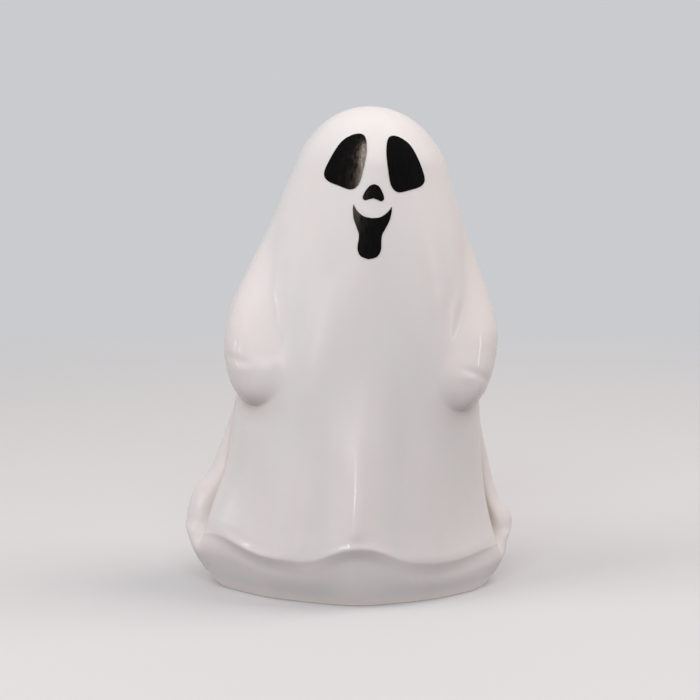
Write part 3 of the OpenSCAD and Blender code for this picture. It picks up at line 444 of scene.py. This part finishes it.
def box_ring(ring, half_x, half_y, corner, z):
    """The points of a rounded rectangle in the directions of a ring's points."""
    ways = ring[:, :2] / np.linalg.norm(ring[:, :2], axis=1)[:, None]
    points = []
    for way in ways:
        d, c = np.abs(way), np.array([half_x - corner, half_y - corner])
        along_side = half_x / max(d[0], 1e-9)
        along_end = half_y / max(d[1], 1e-9)
        if along_side * d[1] <= c[1]:
            reach = along_side
        elif along_end * d[0] <= c[0]:
            reach = along_end
        else:
            reach = d @ c + math.sqrt((d @ c) ** 2 - c @ c + corner ** 2)
        points.append([*(reach * way), z])
    return np.array(points)


# The rows lie closer together over the hands and along the hem.
heights = np.concatenate([
    head_z + head_r * np.cos(np.radians(np.arange(3, 72, 3))),
    np.arange(neck_z - 1, 98, -1.2),
    np.arange(97.5, 82, -0.5),
    np.arange(81.5, 31, -1.2),
    np.arange(30, 17, -0.35),
    np.linspace(16.6, rim_z, 20),
])
outer = [outer_ring(z) for z in heights]
flange = np.array(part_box("base_plate")[1]) / MM
recess_z, floor_top, fit, opening_fit = 3.2, 6.2, 0.3, 0.8
flange_corner, flange_lip, opening_corner = 20, 5, 4.5
recess = [flange[0] + fit, flange[1] + fit, flange_corner + fit]
opening = [flange[0] - flange_lip + opening_fit, flange[1] - flange_lip + opening_fit,
           opening_corner + opening_fit]
# The underside goes up into a recess for the flange of the base, in to the opening and up through the floor.
under = [
    box_ring(outer[-1], *recess, rim_z),
    box_ring(outer[-1], *recess, recess_z),
    box_ring(outer[-1], *opening, recess_z),
    box_ring(outer[-1], *opening, floor_top),
]
inner = [inner_ring(z) for z in np.linspace(floor_top, neck_z - 4, 48)]
inner_head = (head_r - wall) / head_r
for turn in np.arange(66, 5, -6):
    z = head_z + head_r * math.cos(math.radians(turn))
    ring = skin(columns, z, plain_row(z) * inner_head, 0)
    ring[:, 2] += head_z + (z - head_z) * inner_head - z
    inner.append(ring)
rings = outer + under + inner


rubbed_z, rubbed_hands = 110, ((-68, 8), (59, 10))


def rubbing(phi, z):
    """How far the skin is rubbed shiny: on the front ridge, the lip, the hands and the edges of the chest."""
    ridge = 0.75 * bell(phi / 5) * ease(hem_z - 3, hem_z, z) * (1 - ease(56, 74, z))
    lip = crisp_lip(phi) * bell((z - hem_z - 1) / 2)
    hands = sum(bell((phi - at) / width) for at, width in rubbed_hands) * bell((z - rubbed_z) / 14)
    return np.clip(ridge + lip + hands + 0.6 * chest_edge(np.abs(phi), z, 3.5), 0, 1)


def painted_shade(phi, z):
    """How much painted shade darkens the sheet: in the creases beside the flaps, under the hands and under the
    lip.
    """
    a, at = np.abs(phi), crease_angle(z)
    creases = bell((a - at - 1) / np.where(a < at + 1, 6, 3.2))
    creases = creases * ease(18, 34, z) * (1 - ease(66, 92, z))
    hands = bell((a - 58) / 16) * bell((z - hand_z - 1) / 6)
    lip = bell((z - hem_z + 4.5) / 3) * bell(phi / 60)
    # More painted shade goes on the right side than on the left.
    at_sides = np.where(phi < 0, 0.45 * creases + 0.3 * hands, creases + 0.25 * hands)
    return np.clip(at_sides + 0.14 * lip, 0, 1)


ball_r = 0.1
bpy.ops.object.select_all(action="DESELECT")
bpy.ops.mesh.primitive_uv_sphere_add(segments=around, ring_count=len(rings) + 1, radius=ball_r)
sheet = bpy.context.object
sheet.name = "ghost_sheet"
ball = np.array([v.co for v in sheet.data.vertices])
from_top = np.arccos(np.clip(ball[:, 2] / ball_r, -1, 1)) / math.pi
from_back = np.degrees(np.arctan2(ball[:, 0], -ball[:, 1])) + 180
ring_of = np.rint(from_top * (len(rings) + 1)).astype(int)
column_of = np.rint(from_back * around / 360).astype(int) % around
places = np.array([np.full((around, 3), (lean, forward, body_h)), *rings,
                   np.full((around, 3), (lean, forward, body_h - wall))])
sheet.data.vertices.foreach_set("co", (places[ring_of, column_of] * MM).ravel())
sheet.data.update()
# Two point attributes: how far the skin is rubbed shiny, and how much painted shade darkens it.
for name, share in (("rubbed", rubbing), ("painted_shade_share", painted_shade)):
    values = np.zeros((len(rings) + 2, around))
    values[1:len(heights) + 1] = [share(columns, z) for z in heights]
    sheet.data.attributes.new(name, "FLOAT", "POINT").data.foreach_set("value", values[ring_of, column_of])
bpy.ops.object.shade_smooth_by_angle(angle=math.radians(45))
rubbed_rough = 0.09


def noise(tree, size, **inputs):
    """Noise with grains of one size, or of three sizes along x, y and z, in millimetres."""
    place, scale = (add_node(tree, "ShaderNodeTexCoord"), "Object"), 1.0
    if isinstance(size, tuple):
        stretch = [1 / (length * MM) for length in size]
        place = (add_node(tree, "ShaderNodeMapping", {"Vector": place, "Scale": stretch}), 0)
    else:
        scale = 1 / (size * MM)
    return add_node(tree, "ShaderNodeTexNoise", {"Vector": place, "Scale": scale, "Detail": 2.0, **inputs})


def two_tones(tree, source, dark, light, start=0, end=1):
    """A ramp from one colour to another, over part of the range of its source."""
    ramp = add_node(tree, "ShaderNodeValToRGB", {"Fac": source})
    for element, position, colour in zip(ramp.color_ramp.elements, (start, end), (dark, light)):
        element.position = position
        element.color = linear(colour)
    return ramp


def bumps(tree, shader, height, strength, depth, edge=0):
    """Gives a shader fine bumps, and rounded edges where a radius is given; depth and radius in millimetres."""
    bump = add_node(tree, "ShaderNodeBump", {"Strength": strength, "Distance": depth * MM, "Height": height})
    if edge:
        rounded = add_node(tree, "ShaderNodeBevel", {"Radius": edge * MM}, samples=4)
        tree.links.new(rounded.outputs[0], bump.inputs["Normal"])
    tree.links.new(bump.outputs[0], shader.inputs["Normal"])


# Polyethylene, blown against a finely blasted mould: milky and satin, with faint vertical draw lines from the
# parison, and rubbed shiny where it gets touched. Warm shade is painted into its colour in the creases, under
# the hands and under the lip. The light that goes in comes out warmer, so the shade is never grey.
poly, tree, shader = new_material("translucent_polyethylene")
shader.inputs["IOR"].default_value = 1.51
shader.inputs["Subsurface Weight"].default_value = 0.4
shader.inputs["Subsurface Radius"].default_value = (1.0, 0.72, 0.62)
shader.inputs["Subsurface Scale"].default_value = 3.5 * MM
draw_lines = noise(tree, (2.5, 2.5, 120))
clouds = noise(tree, (20, 20, 55), Roughness=0.45)
milk = two_tones(tree, (clouds, 0), "EEE7E6", "F2ECEB", 0.3, 0.7)
# Painted shade: the milk white is darkened towards a warm brown in the creases, under the hands and under the
# lip.
shade_share = add_node(tree, "ShaderNodeAttribute", attribute_name="painted_shade_share")
shaded_milk = mix_colours(tree, (shade_share, "Fac"), (milk, 0), linear("A8957F"))
tree.links.new(shaded_milk.outputs[2], shader.inputs["Base Color"])
gloss = map_range(tree, (draw_lines, 0), (0.25, 0.75), (0.24, 0.268))
touched = add_node(tree, "ShaderNodeAttribute", attribute_name="rubbed")
shine = add_node(tree, "ShaderNodeMix", {"Factor": (touched, "Fac"), 2: (gloss, 0), 3: rubbed_rough})
tree.links.new(shine.outputs[0], shader.inputs["Roughness"])
bumps(tree, shader, (draw_lines, 0), 0.05, 0.1)
sheet.data.materials.append(poly)
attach(sheet, "ghost")
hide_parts("ghost_shell")

# Face: eyes, nose and mouth pad-printed on the front of the head in black ink, which lies on the sheet
# as a thin film. The whole face leans with the head.
ink_t, ink_gap, grid, start_y = 0.12, 0.05, 1.2, -70
face_z = 180
face_at = (lean_at(face_z) - 0.2, face_z)
face_turn = -math.atan(tilt) - math.radians(1.8)
eye = [[7.3, 24.2], [4.8, 22.6], [4.2, 17], [5.3, 9.4], [6.9, 3.2], [10, 0.6],
       [15.2, 1.7], [20.2, 3.6], [21.6, 6.8], [19.1, 13.4], [15.4, 19.7], [11.5, 22.9]]
nose_half = [[0, 3.5], [1.9, 2.7], [3.6, 0.4], [4.6, -2.3], [3.6, -3.5], [1.7, -3], [0, -2.5]]
mouth_top = [[0, -10.8], [3.5, -10.2], [6.4, -8.1], [8.2, -5.5]]
mouth_side = [[8.3, -7.5], [7.7, -11.3], [6.1, -15.1], [5, -17.6], [4.85, -20.2], [5, -24], [3.5, -27],
              [0, -28.2]]
lower_lean, lower_shift = np.array([[1, 0.03], [0, 1]]), (0.4, 0)


def curve(points, closed, steps=8):
    """A smooth curve through points."""
    p = np.array(points, float)
    n = len(p)
    out = []
    for i in range(n if closed else n - 1):
        k = [(i + by) % n if closed else min(n - 1, max(0, i + by)) for by in (-1, 0, 1, 2)]
        a, b, c, d = p[k]
        for t in np.arange(steps) / steps:
            out.append(0.5 * (2 * b + (c - a) * t + (2 * a - 5 * b + 4 * c - d) * t ** 2
                              + (3 * b - a - 3 * c + d) * t ** 3))
    return np.array(out if closed else out + [p[-1]])


def both_halves(half):
    """A right half from the top to the bottom, with its mirror image."""
    return np.concatenate([half, half[-2:0:-1] * [-1, 1]])


right_eye = curve(eye, True)
mouth_half = np.concatenate([curve(mouth_top, False), curve(mouth_side, False)])
outlines = {
    "right_eye_print": right_eye,
    "left_eye_print": right_eye[::-1] * [-1, 1],
    "nose_print": both_halves(curve(nose_half, False)) @ lower_lean.T - lower_shift,
    "mouth_print": both_halves(mouth_half) @ lower_lean.T - lower_shift,
}
turned = np.array([[math.cos(face_turn), -math.sin(face_turn)], [math.sin(face_turn), math.cos(face_turn)]])
prints = []
for name, outline in outlines.items():
    flat = outline @ turned.T + face_at
    bpy.ops.object.select_all(action="DESELECT")
    bpy.ops.mesh.primitive_circle_add(vertices=len(flat), radius=0.01, fill_type="NGON")
    film = bpy.context.object
    film.name = name
    film.data.vertices.foreach_set("co", np.ravel([(x * MM, start_y * MM, z * MM) for x, z in flat]))
    bpy.ops.object.mode_set(mode="EDIT")
    for axis, values in ((0, flat[:, 0]), (2, flat[:, 1])):
        across = [1 if k == axis else 0 for k in range(3)]
        for cut in np.arange(values.min() + grid / 2, values.max(), grid):
            bpy.ops.mesh.select_all(action="SELECT")
            bpy.ops.mesh.bisect(plane_co=[cut * MM * k for k in across], plane_no=across)
    bpy.ops.mesh.select_all(action="SELECT")
    bpy.ops.mesh.normals_make_consistent(inside=False)
    bpy.ops.object.mode_set(mode="OBJECT")
    laid = film.modifiers.new("laid_on_the_sheet", "SHRINKWRAP")
    laid.target = sheet
    laid.wrap_method = "PROJECT"
    laid.use_project_y = True
    laid.use_negative_direction = False
    laid.use_positive_direction = True
    laid.offset = ink_gap * MM
    bpy.ops.object.modifier_apply(modifier=laid.name)
    thick = film.modifiers.new("thickness_of_the_ink", "SOLIDIFY")
    thick.thickness = ink_t * MM
    thick.offset = 1
    bpy.ops.object.modifier_apply(modifier=thick.name)
    bpy.ops.object.shade_smooth_by_angle(angle=math.radians(40))
    prints.append(film)

# Pad-printing ink, rolled on thin: deep black with a soft gloss, which the lines of the drawn wall under it
# break up into fine upright streaks.
ink, tree, shader = new_material("black_pad_printing_ink")
shader.inputs["Specular IOR Level"].default_value = 0.08
streaks = noise(tree, (0.9, 0.9, 40))
satin = map_range(tree, (streaks, 0), (0.3, 0.7), (0.12, 0.26))
tree.links.new(satin.outputs[0], shader.inputs["Roughness"])
black = two_tones(tree, (streaks, 0), "030202", "080606", 0.3, 0.7)
tree.links.new(black.outputs[0], shader.inputs["Base Color"])
# The tall strip at the left shines only on the ink, so that the sheet round it stays even.
shone_on = bpy.data.collections.new("printed_face")
bpy.data.objects["face_strip"].light_linking.receiver_collection = shone_on
for film in prints:
    shone_on.objects.link(film)
    film.data.materials.append(ink)
    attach(film, "ghost")
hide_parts("face_print")

# Base plate: one white ABS moulding with the cell bay, the hinge ears and the posts for switch and board.
# It lies in the floor of the sheet, its flange in the recess, and four screws hold it there.


def moulded(name, dark, light, rough, grit):
    """A moulded plastic with a fine even texture; grit is the size of its grains in millimetres."""
    plastic, tree, shader = new_material(name)
    shader.inputs["IOR"].default_value = 1.53
    grains, flow = noise(tree, grit), noise(tree, 15)
    tone = two_tones(tree, (flow, 0), dark, light, 0.35, 0.65)
    tree.links.new(tone.outputs[0], shader.inputs["Base Color"])
    satin = map_range(tree, (grains, 0), (0.3, 0.7), rough)
    tree.links.new(satin.outputs[0], shader.inputs["Roughness"])
    bumps(tree, shader, (grains, 0), 0.3, 0.04, edge=0.3)
    return plastic


def show(material, *names):
    """Gives a finish to CAD nodes that stay as they are."""
    for name in names:
        nodes[name].material_slots[0].material = material


# ABS from a spark-eroded mould: an even off-white with a dull grain that softens every reflection.
white_abs = moulded("white_abs_spark_grain", "E8E6E3", "EDECE9", (0.42, 0.6), 0.6)
show(white_abs, "base_plate")

# Flange screws: four self-tapping pan-head screws of zinc-plated steel, which go up through the flange
# into the floor of the sheet.


def plated(name, dark, light, rough, marks):
    """A plated metal; marks are the sizes in millimetres along x, y and z of its rolled or turned marks."""
    metal, tree, shader = new_material(name)
    shader.inputs["Metallic"].default_value = 1
    scores, bloom = noise(tree, marks, Detail=3.0), noise(tree, 3)
    tone = two_tones(tree, (bloom, 0), dark, light, 0.3, 0.7)
    tree.links.new(tone.outputs[0], shader.inputs["Base Color"])
    gloss = map_range(tree, (scores, 0), (0.3, 0.7), rough)
    tree.links.new(gloss.outputs[0], shader.inputs["Roughness"])
    bumps(tree, shader, (scores, 0), 0.2, 0.02, edge=0.12)
    return metal


# Bright zinc plating, passivated: a cool grey with a faint yellow bloom, finely scored by the turning.
zinc = plated("zinc_plated_steel", "B4B8BC", "CFCDC4", (0.26, 0.42), (0.25, 0.25, 2))
show(zinc, "flange_screws")

# Battery door: a plate with two hinge pins and a boss for its screw, of the same white ABS as the base.
# A captive screw closes it, kept in the boss by a split ring of nickel-plated spring wire.
nickel_wire = plated("nickel_plated_spring_wire", "BDB9B2", "D8D5CE", (0.16, 0.3), (0.3, 0.3, 0.3))
show(white_abs, "battery_door")
show(zinc, "door_screw")
show(nickel_wire, "screw_clip")

# Cells: three AAA dry cells, each a zinc can in a shrunk plastic sleeve with its two ends bare.
# They lie side by side in the bay, the middle one the other way round. The sleeves are plain.
cell_half, bare, ring_from, ring_to = 22.25, 1.6, 17.4, 18.6
for plus_way, names in ((1, ("cell_1", "cell_3")), (-1, ("cell_2",))):
    low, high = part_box(names[0])
    # A shrunk PVC sleeve: dark, smooth and glossy, with slight waves where it shrank over the can.
    sleeve, tree, shader = new_material(f"pvc_sleeve_on_zinc_can.{names[0]}")
    place = add_node(tree, "ShaderNodeTexCoord")
    axes = add_node(tree, "ShaderNodeSeparateXYZ", {0: (place, "Object")})
    along = compute(tree, "SUBTRACT", (axes, "X"), (low[0] + high[0]) / 2)
    out = compute(tree, "ABSOLUTE", (along, 0))
    end = compute(tree, "GREATER_THAN", (out, 0), (cell_half - bare) * MM)
    ring_at, ring_half = plus_way * (ring_from + ring_to) / 2, (ring_to - ring_from) / 2
    band = compute(tree, "COMPARE", (along, 0), ring_at * MM, ring_half * MM)
    waves = noise(tree, 5)
    dark = two_tones(tree, (waves, 0), "262B33", "30363F", 0.3, 0.7)
    ringed = mix_colours(tree, (band, 0), (dark, 0), linear("C9CCD0"))
    ended = mix_colours(tree, (end, 0), (ringed, 2), linear("C4C5C3"))
    tree.links.new(ended.outputs[2], shader.inputs["Base Color"])
    tree.links.new(end.outputs[0], shader.inputs["Metallic"])
    gloss = map_range(tree, (waves, 0), (0.3, 0.7), (0.22, 0.34))
    tree.links.new(gloss.outputs[0], shader.inputs["Roughness"])
    bumps(tree, shader, (waves, 0), 0.25, 0.05, edge=0.25)
    show(sleeve, *names)

# Contacts: plates cut from nickel-plated steel strip, which stand in slots at the two ends of the bay.
# Conical springs of nickel-plated wire press on the negative ends of the cells.
nickel_strip = plated("nickel_plated_steel_strip", "C2BEB6", "D9D6D0", (0.2, 0.36), (2, 0.15, 6))
show(nickel_strip, "contact_negative", "contact_link_left", "contact_link_right", "contact_positive")
show(nickel_wire, "contact_spring_1", "contact_spring_2", "contact_spring_3")

# Switch: a slide switch in a frame of stamped tin-plated steel, on two posts with two screws.
# Its knob of black ABS comes out through the base, and its three terminals are tinned brass.
stamped_tin = plated("stamped_tin_plated_steel", "B9BBBB", "CDCECB", (0.28, 0.45), (4, 0.4, 0.4))
tinned_brass = plated("tinned_brass", "C3AC74", "D9CBA0", (0.22, 0.36), (0.2, 0.2, 3))
black_abs = moulded("black_abs_spark_grain", "101011", "1A1A1B", (0.4, 0.55), 0.4)
show(stamped_tin, "switch_case")
show(tinned_brass, "switch_terminals")
show(zinc, "switch_screws")
show(black_abs, "switch_knob")

# Light board: a glass-fibre board with a green solder mask, screwed on two posts over the cells.
# It carries three LEDs, the chip that changes their colours, and three small resistors.
# The mask is smooth and glossy over the weave, copper tracks show through it as paler lines,
# and the cut edges show the bare straw-coloured board.
board, tree, shader = new_material("glass_fibre_board_green_mask")
place = add_node(tree, "ShaderNodeTexCoord")
tracks = add_node(tree, "ShaderNodeTexBrick", {
    "Vector": (place, "Object"), "Scale": 1.0,
    "Color1": linear("0E5231"), "Color2": linear("115836"), "Mortar": linear("2B7F52"),
    "Mortar Size": 0.22 * MM, "Brick Width": 7 * MM, "Row Height": 1.9 * MM})
weave_at = add_node(tree, "ShaderNodeMapping", {"Vector": (place, "Object"), "Scale": (1 / MM, 1 / MM, 1 / MM)})
weave = add_node(tree, "ShaderNodeTexChecker", {"Vector": (weave_at, 0), "Scale": 1.6})
surface = add_node(tree, "ShaderNodeNewGeometry")
faces = add_node(tree, "ShaderNodeSeparateXYZ", {0: (surface, "Normal")})
level = compute(tree, "ABSOLUTE", (faces, "Z"))
masked = compute(tree, "GREATER_THAN", (level, 0), 0.5)
colour = mix_colours(tree, (masked, 0), linear("B9A871"), (tracks, 0))
tree.links.new(colour.outputs[2], shader.inputs["Base Color"])
gloss = map_range(tree, (masked, 0), (0, 1), (0.75, 0.28))
tree.links.new(gloss.outputs[0], shader.inputs["Roughness"])
bumps(tree, shader, (weave, 1), 0.15, 0.03)
show(board, "led_board")
show(zinc, "board_screws")

# LEDs: round epoxy lenses with a flange, cast in one round their lead frames, on tinned steel leads.
# Cast epoxy with a diffuser: clear to milky, so that what is behind it shows only as a blur.
epoxy, tree, shader = new_material("diffused_cast_epoxy")
shader.inputs["IOR"].default_value = 1.54
shader.inputs["Transmission Weight"].default_value = 0.8
haze = noise(tree, 1.5)
milky = two_tones(tree, (haze, 0), "E4E9EC", "F4F6F7")
tree.links.new(milky.outputs[0], shader.inputs["Base Color"])
cast = map_range(tree, (haze, 0), (0.3, 0.7), (0.18, 0.3))
tree.links.new(cast.outputs[0], shader.inputs["Roughness"])
show(epoxy, "led_1", "led_2", "led_3")
tinned_steel = plated("tinned_steel_leads", "C4C5C4", "DADAD6", (0.25, 0.4), (0.2, 0.2, 2))
show(tinned_steel, "led_leads")

# Chip and resistors: a moulded black package with tinned legs at its two sides, and black chip resistors
# with tinned ends, all soldered on top of the board.
packages = [
    # node, axis across its tinned sides, its middle on that axis, half the width of its black part
    ("driver_chip", "Y", 5.2, 2.01),
    ("resistors", "X", -14.5, 0.62),
]
for node, axis, middle, half in packages:
    # Black moulding compound, matt, with dull bright tin where it is soldered.
    package, tree, shader = new_material(f"moulding_compound_and_tin.{node}")
    place = add_node(tree, "ShaderNodeTexCoord")
    axes = add_node(tree, "ShaderNodeSeparateXYZ", {0: (place, "Object")})
    along = compute(tree, "SUBTRACT", (axes, axis), middle * MM)
    out = compute(tree, "ABSOLUTE", (along, 0))
    tin = compute(tree, "GREATER_THAN", (out, 0), half * MM)
    grains = noise(tree, 0.2)
    body = two_tones(tree, (grains, 0), "121213", "222224")
    colour = mix_colours(tree, (tin, 0), (body, 0), linear("CFCFCB"))
    tree.links.new(colour.outputs[2], shader.inputs["Base Color"])
    tree.links.new(tin.outputs[0], shader.inputs["Metallic"])
    dull = map_range(tree, (grains, 0), (0.3, 0.7), (0.38, 0.6))
    tree.links.new(dull.outputs[0], shader.inputs["Roughness"])
    bumps(tree, shader, (grains, 0), 0.2, 0.02, edge=0.08)
    show(package, node)

# Wires: three stranded wires in PVC, soldered from contact to board, from contact to switch and from switch
# to board. PVC insulation is satin and softly uneven from the extruder.
wires = [
    # node, its darker and lighter colours
    ("wire_negative", "111112", "1C1C1D"),
    ("wire_positive", "96151A", "A81D20"),
    ("wire_switched", "B9540F", "CB6318"),
]
for node, dark, light in wires:
    show(moulded(f"pvc_insulation.{node}", dark, light, (0.34, 0.5), 0.5), node)
